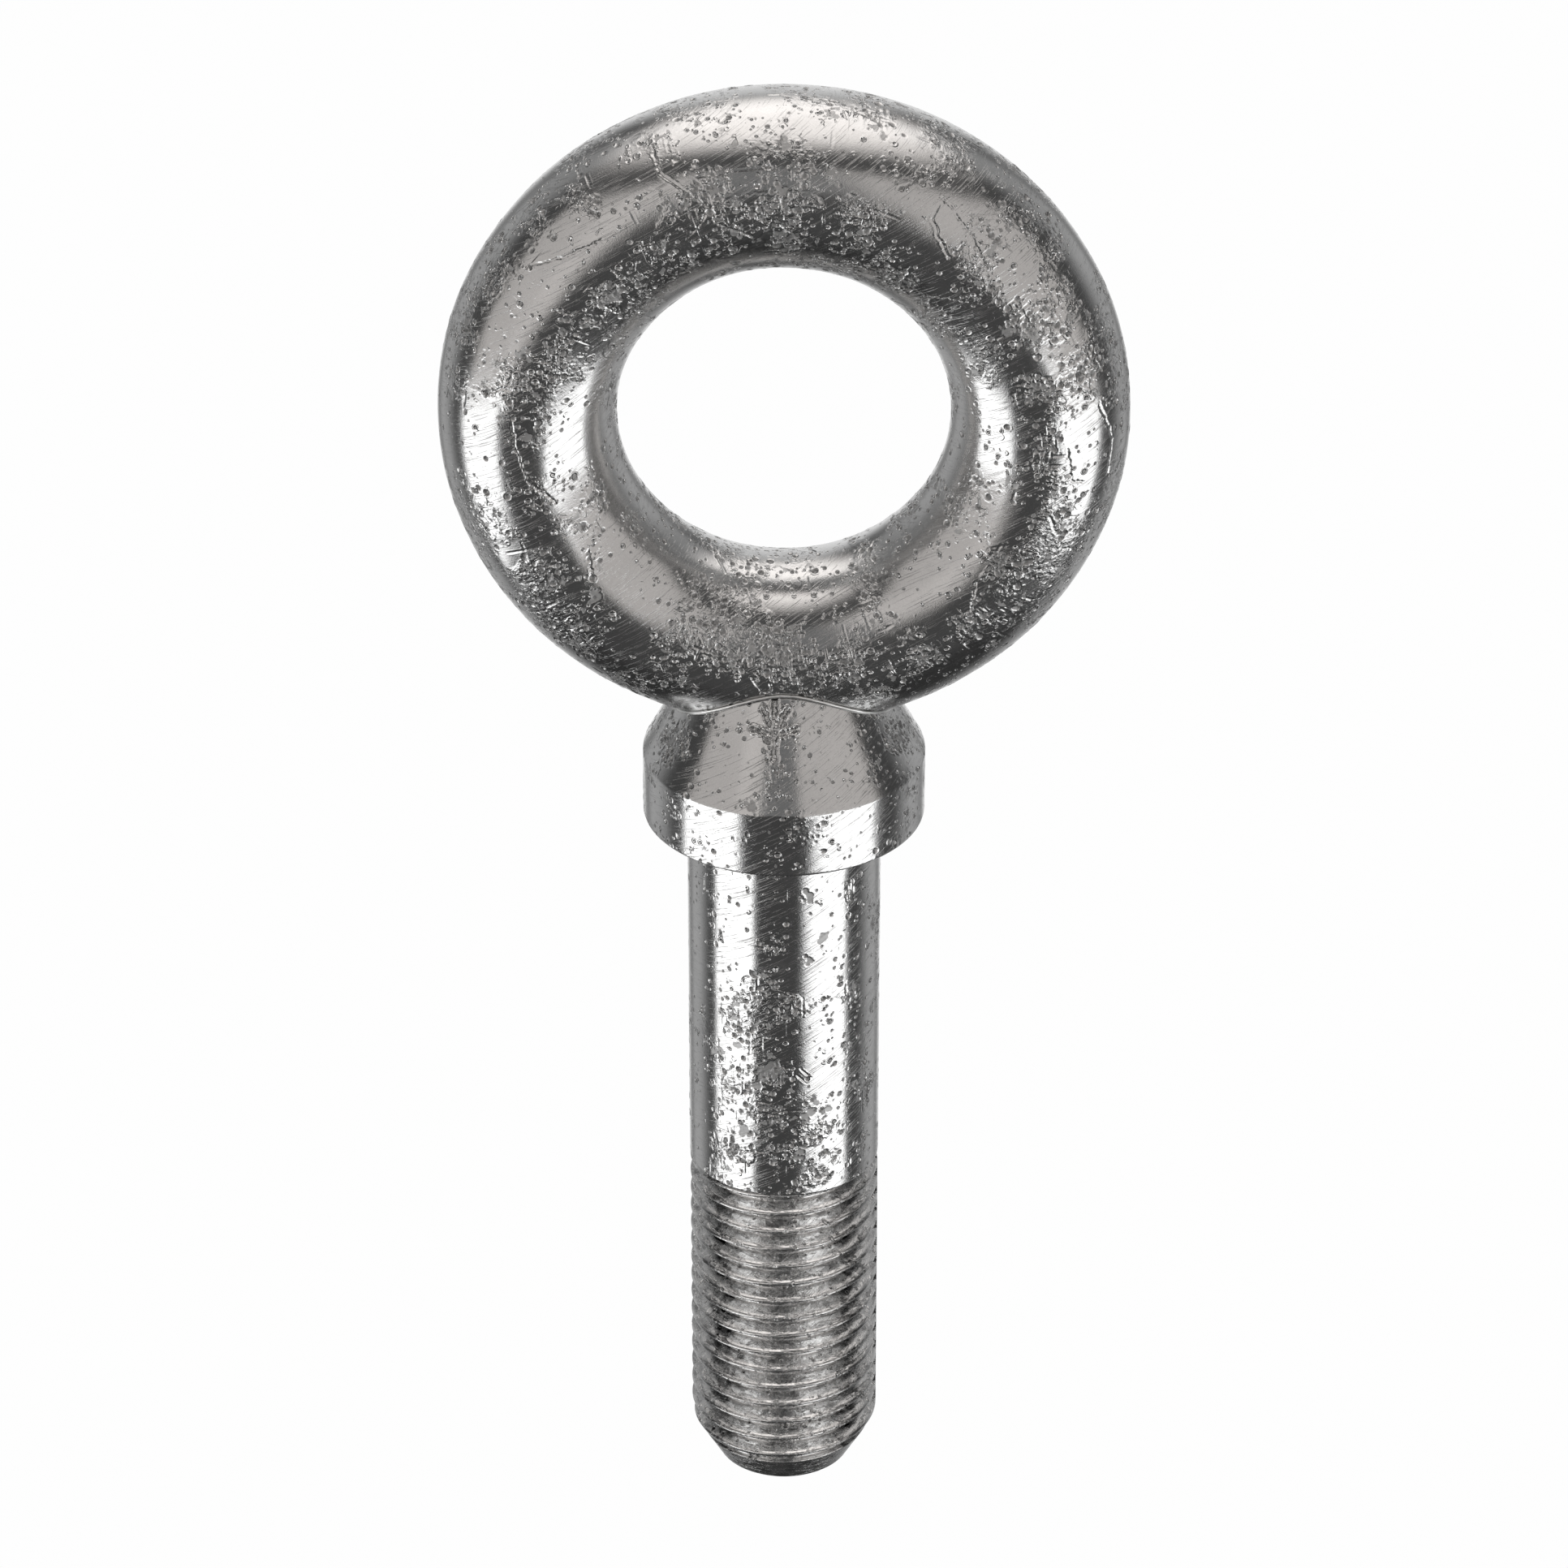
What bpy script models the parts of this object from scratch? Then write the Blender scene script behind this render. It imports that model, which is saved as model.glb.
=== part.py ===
"""Shoulder eye bolt, 1-1/2 in - 6 UNC with a 6 in shank, of the fabricated kind: a ring of round bar is set in
a saddle on top of a turned stud, located by a spigot, and joined to it by a layer of weld metal.

Units are metres and +Z is up. The origin is the centre of the shoulder's underside, which bears on the lifted
part. The shank points down, and the ring stands in the XZ plane, so its hole runs along Y.
"""

import math

import bmesh
import bpy

INCH = 0.0254

# Ring of round bar
EYE_INSIDE_DIAMETER = 2.5 * INCH
BAR_DIAMETER = 0.0341
EYE_CENTRE_HEIGHT = 0.0867

# Shoulder: a collar with a cone above it
SHOULDER_DIAMETER = 0.0553
COLLAR_HEIGHT = 0.0134
CONE_SLOPE = 0.533  # radius lost for each unit of height

# Shank and thread
SHANK_DIAMETER = 1.5 * INCH
SHANK_LENGTH = 6.0 * INCH
THREADED_LENGTH = 0.073
THREAD_PITCH = INCH / 6
THREAD_CREST_DIAMETER = 0.03798
THREAD_ROOT_DIAMETER = 0.0329
THREAD_HALF_ANGLE = math.radians(30)
THREAD_START_ANGLE = math.radians(0)
POINT_LENGTH = 0.0094
POINT_DIAMETER = 0.0272

# Joint between ring and stud
SPIGOT_DIAMETER = 0.014
SPIGOT_REACH = 0.010  # how far the spigot goes up into the bar
WELD_THICKNESS = 0.0008
CLEARANCE = 0.0002  # gap that neighbouring solids keep

# Fineness of the round surfaces
RING_STEPS = 72
BAR_STEPS = 28
STUD_STEPS = 64
SPIGOT_STEPS = 24
THREAD_STEPS = 32
SHARP_CORNER = math.radians(25)

BAR_RADIUS = BAR_DIAMETER / 2
RING_RADIUS = EYE_INSIDE_DIAMETER / 2 + BAR_RADIUS
SHOULDER_RADIUS = SHOULDER_DIAMETER / 2
SHANK_RADIUS = SHANK_DIAMETER / 2
SPIGOT_RADIUS = SPIGOT_DIAMETER / 2
BAR_CENTRE_HEIGHT = EYE_CENTRE_HEIGHT - RING_RADIUS
BAR_UNDERSIDE_HEIGHT = BAR_CENTRE_HEIGHT - BAR_RADIUS
SPIGOT_TOP_HEIGHT = BAR_UNDERSIDE_HEIGHT + SPIGOT_REACH
THREAD_TOP_HEIGHT = THREADED_LENGTH - SHANK_LENGTH


def clear_scene():
    for obj in list(bpy.data.objects):
        bpy.data.objects.remove(obj)


def new_collection(name):
    collection = bpy.data.collections.new(name)
    bpy.context.scene.collection.children.link(collection)
    return collection


def steel(name, colour, roughness):
    material = bpy.data.materials.new(name)
    material.use_nodes = True
    shader = material.node_tree.nodes["Principled BSDF"]
    shader.inputs["Base Color"].default_value = (*colour, 1.0)
    shader.inputs["Roughness"].default_value = roughness
    shader.inputs["Metallic"].default_value = 1.0
    return material


def turned(name, collection, profile, steps):
    """A solid of revolution about Z. The profile is a list of (radius, height), from the axis to the axis.

    It is turned by half a facet, so that no facet's edge lies in a plane where the ring's facets meet.
    """
    mesh = bpy.data.meshes.new(name)
    points = [(radius, 0.0, height) for radius, height in profile]
    lines = [(i, i + 1) for i in range(len(points) - 1)]
    mesh.from_pydata(points, lines, [])
    obj = bpy.data.objects.new(name, mesh)
    obj.rotation_euler.z = math.pi / steps
    collection.objects.link(obj)
    screw = obj.modifiers.new("turn", "SCREW")
    screw.steps = steps
    screw.render_steps = steps
    screw.use_merge_vertices = True
    screw.merge_threshold = 0.00001
    return obj


def bar_ring(name, collection, bar_radius):
    """A torus on the ring's centre line, with the given bar radius."""
    bpy.ops.mesh.primitive_torus_add(
        major_segments=RING_STEPS,
        minor_segments=BAR_STEPS,
        major_radius=RING_RADIUS,
        minor_radius=bar_radius,
        location=(0.0, 0.0, EYE_CENTRE_HEIGHT),
        rotation=(math.pi / 2, 0.0, 0.0),
    )
    obj = bpy.context.object
    obj.name = name
    for owner in list(obj.users_collection):
        owner.objects.unlink(obj)
    collection.objects.link(obj)
    return obj


def combine(target, operation, tool):
    boolean = target.modifiers.new(tool.name, "BOOLEAN")
    boolean.operation = operation
    boolean.object = tool
    boolean.solver = "EXACT"


def as_cutter(obj):
    obj.hide_render = True
    obj.display_type = "WIRE"
    return obj


def finish(obj, material):
    """Puts the evaluated shape in place of the modifiers, smooth except at its real corners."""
    graph = bpy.context.evaluated_depsgraph_get()
    mesh = bpy.data.meshes.new_from_object(obj.evaluated_get(graph))
    obj.modifiers.clear()
    obj.data = mesh
    mesh.name = obj.name
    mesh.materials.clear()
    mesh.materials.append(material)
    mesh.shade_smooth()
    mesh.set_sharp_from_angle(angle=SHARP_CORNER)


def cone_radius(height):
    return SHOULDER_RADIUS - CONE_SLOPE * (height - COLLAR_HEIGHT)


def spigot_cutter(name, collection, radius, top_height):
    """An upright cylinder from inside the collar to top_height."""
    return turned(
        name,
        collection,
        [(0.0, top_height), (radius, top_height), (radius, COLLAR_HEIGHT), (0.0, COLLAR_HEIGHT)],
        SPIGOT_STEPS,
    )


def thread_sweep(name, collection):
    """The helical ridges as one solid, longer at both ends than the rod that is trimmed from it."""
    root = THREAD_ROOT_DIAMETER / 2
    crest = THREAD_CREST_DIAMETER / 2
    flank_height = (crest - root) * math.tan(THREAD_HALF_ANGLE)
    crest_height = THREAD_PITCH / 8
    first_height = -SHANK_LENGTH - 2 * THREAD_PITCH
    section = [
        (root, THREAD_PITCH),
        (root, 2 * flank_height + crest_height),
        (crest, flank_height + crest_height),
        (crest, flank_height),
        (root, 0.0),
    ]
    mesh = bpy.data.meshes.new(name)
    mesh.from_pydata(
        [(radius, 0.0, first_height + height) for radius, height in section],
        [(i, i + 1) for i in range(len(section) - 1)],
        [],
    )
    obj = bpy.data.objects.new(name, mesh)
    obj.rotation_euler.z = THREAD_START_ANGLE
    collection.objects.link(obj)
    screw = obj.modifiers.new("sweep", "SCREW")
    screw.steps = THREAD_STEPS
    screw.render_steps = THREAD_STEPS
    screw.screw_offset = THREAD_PITCH
    screw.iterations = math.ceil(THREADED_LENGTH / THREAD_PITCH) + 5
    graph = bpy.context.evaluated_depsgraph_get()
    swept = bpy.data.meshes.new_from_object(obj.evaluated_get(graph))
    obj.modifiers.clear()
    obj.data = swept
    close_sweep(swept)
    return obj


def close_sweep(mesh):
    """Joins each turn to the next and closes both ends to a point on the axis."""
    solid = bmesh.new()
    solid.from_mesh(mesh)
    bmesh.ops.remove_doubles(solid, verts=solid.verts, dist=0.00001)
    middle = sum(vert.co.z for vert in solid.verts) / len(solid.verts)
    open_edges = [edge for edge in solid.edges if edge.is_boundary]
    for above in (False, True):
        rim = [edge for edge in open_edges if (edge.verts[0].co.z > middle) == above]
        made = bmesh.ops.extrude_edge_only(solid, edges=rim)
        tips = [item for item in made["geom"] if isinstance(item, bmesh.types.BMVert)]
        height = sum(vert.co.z for vert in tips) / len(tips)
        bmesh.ops.pointmerge(solid, verts=tips, merge_co=(0.0, 0.0, height))
    bmesh.ops.recalc_face_normals(solid, faces=solid.faces)
    solid.to_mesh(mesh)
    solid.free()


def threaded_rod(collection):
    """The threaded end with its chamfered point. Its top is buried in the plain shank."""
    blank = THREAD_CREST_DIAMETER / 2 + 0.0003
    buried_height = THREAD_TOP_HEIGHT + THREAD_PITCH
    chamfer_slope = (THREAD_CREST_DIAMETER - POINT_DIAMETER) / 2 / POINT_LENGTH
    chamfer_height = (blank - POINT_DIAMETER / 2) / chamfer_slope - SHANK_LENGTH
    profile = [
        (0.0, buried_height),
        (blank, buried_height),
        (blank, chamfer_height),
        (POINT_DIAMETER / 2, -SHANK_LENGTH),
        (0.0, -SHANK_LENGTH),
    ]
    rod = as_cutter(turned("threaded_rod", collection, profile, STUD_STEPS))
    combine(rod, "INTERSECT", as_cutter(thread_sweep("thread_sweep", collection)))
    return rod


def make_eye_ring(parts, cutters):
    """The ring, with the blind socket that takes the stud's spigot."""
    ring = bar_ring("eye_ring", parts, BAR_RADIUS)
    socket = spigot_cutter(
        "spigot_socket", cutters, SPIGOT_RADIUS + CLEARANCE, SPIGOT_TOP_HEIGHT + CLEARANCE
    )
    combine(ring, "DIFFERENCE", as_cutter(socket))
    finish(ring, steel("ring_steel", (0.52, 0.50, 0.48), 0.28))


def make_shoulder_stud(parts, cutters):
    """Cone, collar, plain shank and threaded end, with the saddle and the spigot on top."""
    profile = [
        (0.0, BAR_CENTRE_HEIGHT),
        (cone_radius(BAR_CENTRE_HEIGHT), BAR_CENTRE_HEIGHT),
        (SHOULDER_RADIUS, COLLAR_HEIGHT),
        (SHOULDER_RADIUS, 0.0),
        (SHANK_RADIUS, 0.0),
        (SHANK_RADIUS, THREAD_TOP_HEIGHT),
        (0.0, THREAD_TOP_HEIGHT),
    ]
    stud = turned("shoulder_stud", parts, profile, STUD_STEPS)
    saddle = bar_ring("saddle", cutters, BAR_RADIUS + WELD_THICKNESS + 2 * CLEARANCE)
    combine(stud, "DIFFERENCE", as_cutter(saddle))
    spigot = spigot_cutter("spigot", cutters, SPIGOT_RADIUS, SPIGOT_TOP_HEIGHT)
    combine(stud, "UNION", as_cutter(spigot))
    combine(stud, "UNION", threaded_rod(cutters))
    finish(stud, steel("stud_steel", (0.52, 0.50, 0.48), 0.28))


def make_saddle_weld(parts, cutters):
    """The layer between ring and saddle, flush with the cone and open in the middle for the spigot."""
    profile = [
        (0.0, BAR_CENTRE_HEIGHT),
        (cone_radius(BAR_CENTRE_HEIGHT), BAR_CENTRE_HEIGHT),
        (SHOULDER_RADIUS, COLLAR_HEIGHT),
        (0.0, COLLAR_HEIGHT),
    ]
    weld = turned("saddle_weld", parts, profile, STUD_STEPS)
    outer = bar_ring("weld_outer", cutters, BAR_RADIUS + CLEARANCE + WELD_THICKNESS)
    combine(weld, "INTERSECT", as_cutter(outer))
    inner = bar_ring("weld_inner", cutters, BAR_RADIUS + CLEARANCE)
    combine(weld, "DIFFERENCE", as_cutter(inner))
    hole = spigot_cutter("weld_hole", cutters, SPIGOT_RADIUS + CLEARANCE, SPIGOT_TOP_HEIGHT)
    combine(weld, "DIFFERENCE", as_cutter(hole))
    finish(weld, steel("weld_metal", (0.60, 0.58, 0.55), 0.22))


clear_scene()
parts_collection = new_collection("eye_bolt")
cutters_collection = new_collection("cutters")
make_eye_ring(parts_collection, cutters_collection)
make_shoulder_stud(parts_collection, cutters_collection)
make_saddle_weld(parts_collection, cutters_collection)
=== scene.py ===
"""Looks of the shoulder eye bolt: pitted, dented and scratched bright steel in a white studio.

The ring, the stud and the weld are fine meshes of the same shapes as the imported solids, which they replace.
Marks that have a visible shape (waves, dents, pits, gouges, scratches, flaked patches) are cut into the
meshes. The steel's grain, its hairlines and the smallest marks come from its material. Sizes are in metres,
except in the lists of places and in the steel's material, which count in millimetres.
"""

import math

import bmesh
import bpy
import numpy as np
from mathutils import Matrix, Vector
from mathutils.kdtree import KDTree


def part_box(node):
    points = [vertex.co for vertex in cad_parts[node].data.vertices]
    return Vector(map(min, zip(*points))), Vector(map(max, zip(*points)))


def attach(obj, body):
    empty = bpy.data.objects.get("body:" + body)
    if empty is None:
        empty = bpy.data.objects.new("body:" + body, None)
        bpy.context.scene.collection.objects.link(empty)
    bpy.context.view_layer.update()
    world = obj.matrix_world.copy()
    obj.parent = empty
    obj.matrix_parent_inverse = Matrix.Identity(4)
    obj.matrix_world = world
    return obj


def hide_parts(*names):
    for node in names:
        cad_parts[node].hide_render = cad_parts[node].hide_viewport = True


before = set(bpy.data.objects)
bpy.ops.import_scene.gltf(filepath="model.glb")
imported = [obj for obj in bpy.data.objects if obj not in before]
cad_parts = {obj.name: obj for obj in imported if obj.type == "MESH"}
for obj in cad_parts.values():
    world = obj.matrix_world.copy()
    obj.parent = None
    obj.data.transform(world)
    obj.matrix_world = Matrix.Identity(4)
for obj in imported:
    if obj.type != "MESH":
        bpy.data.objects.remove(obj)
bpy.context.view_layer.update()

MM = 0.001
TURN = 2 * math.pi

# Sizes of the bolt, the same as the solids'
RING_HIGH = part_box("eye_ring")[1]
STUD_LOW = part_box("shoulder_stud")[0]
BAR_RADIUS = RING_HIGH.y
RING_RADIUS = RING_HIGH.x - BAR_RADIUS
EYE_HEIGHT = RING_HIGH.z - RING_HIGH.x
SHOULDER_RADIUS = 27.65 * MM
COLLAR_HEIGHT = 13.4 * MM
CONE_SLOPE = 0.533  # radius lost for each unit of height
SHANK_RADIUS = 19.05 * MM
POINT_HEIGHT = STUD_LOW.z
POINT_RADIUS = 13.6 * MM
POINT_LENGTH = 9.4 * MM
THREAD_TOP = POINT_HEIGHT + 73.0 * MM
THREAD_PITCH = 25.4 * MM / 6
THREAD_HALF_ANGLE = math.radians(30)
CREST_FLAT = THREAD_PITCH / 8
CREST_RADIUS = 18.99 * MM
ROOT_RADIUS = 16.45 * MM

# Finer shape than the solids have
THREAD_PHASE = 0.091  # where the crests lie along the stud, as a share of the pitch
THREAD_WEAR = 0.10 * MM
EDGE_ROUND, THROAT_ROUND, BRIM_ROUND = 0.35 * MM, 0.5 * MM, 0.05 * MM
POINT_EDGE = 0.1 * MM
WELD_GAP = 0.5 * MM  # between ring and saddle, where the weld is
WELD_CLEARANCE = 0.03 * MM
WELD_INNER_SHARE, WELD_OUTER_SHARE = 0.45, 0.96  # where the layer and its bead start, within the crease
BEAD_SIZE = 0.36 * MM

# Fineness of the meshes
RING_STEPS, BAR_STEPS = 1300, 430
STUD_STEPS = 540
SADDLE_ROWS, CONE_ROWS, WELD_ROWS, BEAD_ROWS = 24, 84, 8, 9
POINT_ROWS = (1.0, 0.75, 0.5, 0.25, 1e-7)  # as shares of the point's radius, almost to the axis
COLLAR_SPACING, SEAT_SPACING, SHANK_SPACING = 0.25 * MM, 0.8 * MM, 0.24 * MM
ROWS_PER_PITCH = 22
CREASE_HALVINGS = 40
NEAR_AXIS = 1e-9
MERGE_DISTANCE = 0.002 * MM

# A cut's burr, in shares of the cut's radius: where it stands, how wide it is, where it has died out
BURR_PLACE, BURR_WIDTH, BURR_END = 1.12, 0.15, 1.45
SHALLOW = 0.03 * MM  # a burr doesn't show where another cut is this deep
DENT_DEPTH = 0.05 * MM
RAGGEDNESS = 0.22  # how far the edge of a worn place wanders, as a share of its reach
BEND, BEND_CHANGE = 120, 60  # how a gouge curves, in radians for each metre

# Camera: distances from the eye's centre
CAMERA_DISTANCE = 1277 * MM
CAMERA_ELEVATION = math.radians(29.86)
AIM_BELOW_EYE = 81.9 * MM
LENS_MM = 149.3

STEEL_TINT = (0.59, 0.59, 0.588)
# The weld is painted much lighter than the steel: a painted highlight that makes its bead a bright line along
# the crease.
WELD_TINT_AND_HIGHLIGHT = (0.86, 0.86, 0.85)
HAIRLINE_TILT = math.radians(30)


# ---------------------------------------------------------------- meshes from rows of points


def mesh_object(name, points, closed_rows=False):
    """An object from an array rows x columns of points. Each row is a closed loop round the axis."""
    rows, columns, _ = points.shape
    row = np.arange(rows if closed_rows else rows - 1)[:, None]
    column = np.arange(columns)[None, :]
    next_row, next_column = (row + 1) % rows, (column + 1) % columns
    corners = (
        row * columns + column,
        next_row * columns + column,
        next_row * columns + next_column,
        row * columns + next_column,
    )
    quads = np.stack([np.broadcast_to(c, corners[0].shape) for c in corners], -1).reshape(-1, 4)
    mesh = bpy.data.meshes.new(name)
    mesh.vertices.add(rows * columns)
    mesh.vertices.foreach_set("co", points.astype(np.float32).ravel())
    mesh.loops.add(quads.size)
    mesh.loops.foreach_set("vertex_index", quads.astype(np.int32).ravel())
    mesh.polygons.add(len(quads))
    mesh.polygons.foreach_set("loop_start", np.arange(0, quads.size, 4, dtype=np.int32))
    mesh.update(calc_edges=True)
    mesh.validate()
    obj = bpy.data.objects.new(name, mesh)
    bpy.context.scene.collection.objects.link(obj)
    return obj


def tidy_mesh(obj):
    """Merges the points that rows share where they were cut off, which closes the mesh."""
    made = bmesh.new()
    made.from_mesh(obj.data)
    bmesh.ops.remove_doubles(made, verts=made.verts, dist=MERGE_DISTANCE)
    bmesh.ops.recalc_face_normals(made, faces=made.faces)
    made.to_mesh(obj.data)
    made.free()
    obj.data.shade_smooth()


def rows_of(radius, height, angles):
    """Points of a round row, from a radius and a height for each angle."""
    radius, height = np.broadcast_arrays(radius, height)
    x, y = radius * np.cos(angles), radius * np.sin(angles)
    return np.stack(np.broadcast_arrays(x, y, height), -1)


def rounded(corner, before, after, radius, steps):
    """Points of a small round in a profile's corner, between the points before and after it."""
    corner, before, after = (np.array(p, float) for p in (corner, before, after))
    start = corner + (before - corner) / np.linalg.norm(before - corner) * radius
    end = corner + (after - corner) / np.linalg.norm(after - corner) * radius
    share = np.linspace(0, 1, steps)[:, None]
    return (1 - share) ** 2 * start + 2 * share * (1 - share) * corner + share**2 * end


def even_steps(start, end, spacing):
    """Points from start to end, leaving out both, about that far apart."""
    start, end = np.array(start, float), np.array(end, float)
    count = max(2, round(float(np.linalg.norm(end - start)) / spacing))
    share = np.linspace(0, 1, count + 1)[1:-1, None]
    return start + share * (end - start)


# ---------------------------------------------------------------- shapes


def bar_underside(x, y, bar_radius):
    """Height of the ring's underside, or of a ring with a fatter bar, above the point (x, y)."""
    half_depth = np.sqrt(np.maximum(bar_radius**2 - y**2, 0.0))
    return EYE_HEIGHT - np.sqrt(np.maximum((RING_RADIUS + half_depth) ** 2 - x**2, 0.0))


def cone_radius(height):
    return SHOULDER_RADIUS - CONE_SLOPE * (height - COLLAR_HEIGHT)


def crease(angles, gap):
    """Radius and height, at each angle, of the line where the cone meets a bar that is fatter by gap."""
    low = np.full_like(angles, COLLAR_HEIGHT)
    high = np.full_like(angles, EYE_HEIGHT - RING_RADIUS)
    for _ in range(CREASE_HALVINGS):
        middle = (low + high) / 2
        radius = cone_radius(middle)
        x, y = radius * np.cos(angles), radius * np.sin(angles)
        below = middle < bar_underside(x, y, BAR_RADIUS + gap)
        low, high = np.where(below, middle, low), np.where(below, high, middle)
    return cone_radius(low), low


def ring_mesh():
    along = np.linspace(0, TURN, RING_STEPS, endpoint=False)[:, None]
    around = np.linspace(0, TURN, BAR_STEPS, endpoint=False)[None, :]
    out = RING_RADIUS + BAR_RADIUS * np.cos(around)
    x, y, height = out * np.cos(along), BAR_RADIUS * np.sin(around), EYE_HEIGHT + out * np.sin(along)
    return mesh_object("ring", np.stack(np.broadcast_arrays(x, y, height), -1), closed_rows=True)


def saddle_row(angles, radius, gap):
    """A row at a radius for each angle, on the surface that is a gap below the ring's underside."""
    x, y = radius * np.cos(angles), radius * np.sin(angles)
    return rows_of(radius, bar_underside(x, y, BAR_RADIUS + gap), angles)


def stud_mesh():
    angles = np.linspace(0, TURN, STUD_STEPS, endpoint=False)
    rim_radius, rim_height = crease(angles, WELD_GAP)
    rows = []
    for share in np.linspace(0, 1, SADDLE_ROWS):
        rows.append(saddle_row(angles, np.maximum(share * rim_radius, NEAR_AXIS), WELD_GAP))
    on_cone = (cone_radius(COLLAR_HEIGHT + 1 * MM), COLLAR_HEIGHT + 1 * MM)
    collar_top, collar_foot = (SHOULDER_RADIUS, COLLAR_HEIGHT), (SHOULDER_RADIUS, 0.0)
    shank_top, shank_end = (SHANK_RADIUS, 0.0), (SHANK_RADIUS, THREAD_TOP)
    edge = rounded(collar_top, on_cone, collar_foot, EDGE_ROUND, 4)
    foot = rounded(collar_foot, collar_top, shank_top, EDGE_ROUND, 4)
    throat = rounded(shank_top, collar_foot, shank_end, THROAT_ROUND, 4)
    brim = rounded(shank_end, shank_top, (CREST_RADIUS, THREAD_TOP), BRIM_ROUND, 2)
    for share in np.linspace(0, 1, CONE_ROWS)[1:-1]:
        radius = rim_radius + share * (edge[0][0] - rim_radius)
        height = rim_height + share * (edge[0][1] - rim_height)
        rows.append(rows_of(radius, height, angles))
    profile = np.concatenate(
        [
            edge,
            even_steps(edge[-1], foot[0], COLLAR_SPACING),
            foot,
            even_steps(foot[-1], throat[0], SEAT_SPACING),
            throat,
            even_steps(throat[-1], brim[0], SHANK_SPACING),
            brim,
        ]
    )
    rows += [rows_of(radius, height, angles) for radius, height in profile]
    rows += thread_rows(angles)
    for share in POINT_ROWS:
        rows.append(rows_of(share * (POINT_RADIUS - POINT_EDGE), POINT_HEIGHT, angles))
    return mesh_object("stud", np.stack(rows))


def thread_radius(phase):
    """Radius of the 60 degree thread at a phase of 0 to 1 along one pitch, with worn corners."""
    from_crest = np.abs(phase % 1.0 - 0.5) * THREAD_PITCH
    flank = CREST_RADIUS - (from_crest - CREST_FLAT / 2) / math.tan(THREAD_HALF_ANGLE)
    top = -THREAD_WEAR * np.logaddexp(-flank / THREAD_WEAR, -CREST_RADIUS / THREAD_WEAR)
    return THREAD_WEAR * np.logaddexp(top / THREAD_WEAR, ROOT_RADIUS / THREAD_WEAR)


def thread_rows(angles):
    """Rows that climb with the thread, cut off square at the plain shank and by the point's chamfer."""
    drop = THREAD_PITCH / ROWS_PER_PITCH
    climb = THREAD_PITCH * angles / TURN
    count = math.ceil((THREAD_TOP - POINT_HEIGHT + THREAD_PITCH) / drop)
    slope = (CREST_RADIUS - POINT_RADIUS) / POINT_LENGTH
    rows = []
    for row in range(count + 1):
        height = np.clip(THREAD_TOP - row * drop + climb, POINT_HEIGHT + POINT_EDGE, THREAD_TOP)
        phase = (height - climb) / THREAD_PITCH + THREAD_PHASE
        chamfer = POINT_RADIUS + slope * (height - POINT_HEIGHT)
        rows.append(rows_of(np.minimum(thread_radius(phase), chamfer), height, angles))
    return rows


def weld_mesh():
    """The weld metal between ring and saddle, whose rounded bead stands a little out of the crease."""
    angles = np.linspace(0, TURN, STUD_STEPS, endpoint=False)
    rng = np.random.default_rng(11)
    wobble = sum(
        rng.uniform(0.02, 0.06) * np.sin(k * angles + rng.uniform(0, TURN)) for k in (5, 9, 14, 23, 37)
    )
    size = BEAD_SIZE * (1 + wobble)
    rim_radius, rim_height = crease(angles, WELD_GAP / 2)
    shares = np.linspace(WELD_INNER_SHARE, WELD_OUTER_SHARE, WELD_ROWS)
    rows = [saddle_row(angles, rim_radius * share, WELD_CLEARANCE) for share in shares]
    for turn in np.linspace(-math.pi / 2, math.pi / 2, BEAD_ROWS):
        out, along = math.cos(turn), -math.sin(turn)
        radius = rim_radius + size * out * 0.9
        height = rim_height + size * (out * 0.25 + along * 0.95)
        rows.append(rows_of(radius, height, angles))
    rows += [saddle_row(angles, rim_radius * share, WELD_GAP - WELD_CLEARANCE) for share in shares[::-1]]
    return mesh_object("weld", np.stack(rows), closed_rows=True)


# ---------------------------------------------------------------- marks cut into the meshes


def mm(*sizes):
    """Sizes given in millimetres, as metres."""
    return [size * MM for size in sizes]


def step(value, low, high):
    """0 below low, 1 above high, smooth between."""
    share = np.clip((value - low) / (high - low), 0, 1)
    return share * share * (3 - 2 * share)


def blotches(points, seed, length, count=14):
    """A patchy field over space, about -2 to 2: a sum of random waves."""
    rng = np.random.default_rng(seed)
    directions = rng.normal(size=(count, 3))
    directions /= np.linalg.norm(directions, axis=1)[:, None]
    rates = TURN / (length * rng.uniform(0.7, 1.8, count))
    shifts = rng.uniform(0, TURN, count)
    return np.sin(points @ directions.T * rates + shifts).sum(1) / math.sqrt(count / 2)


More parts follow.
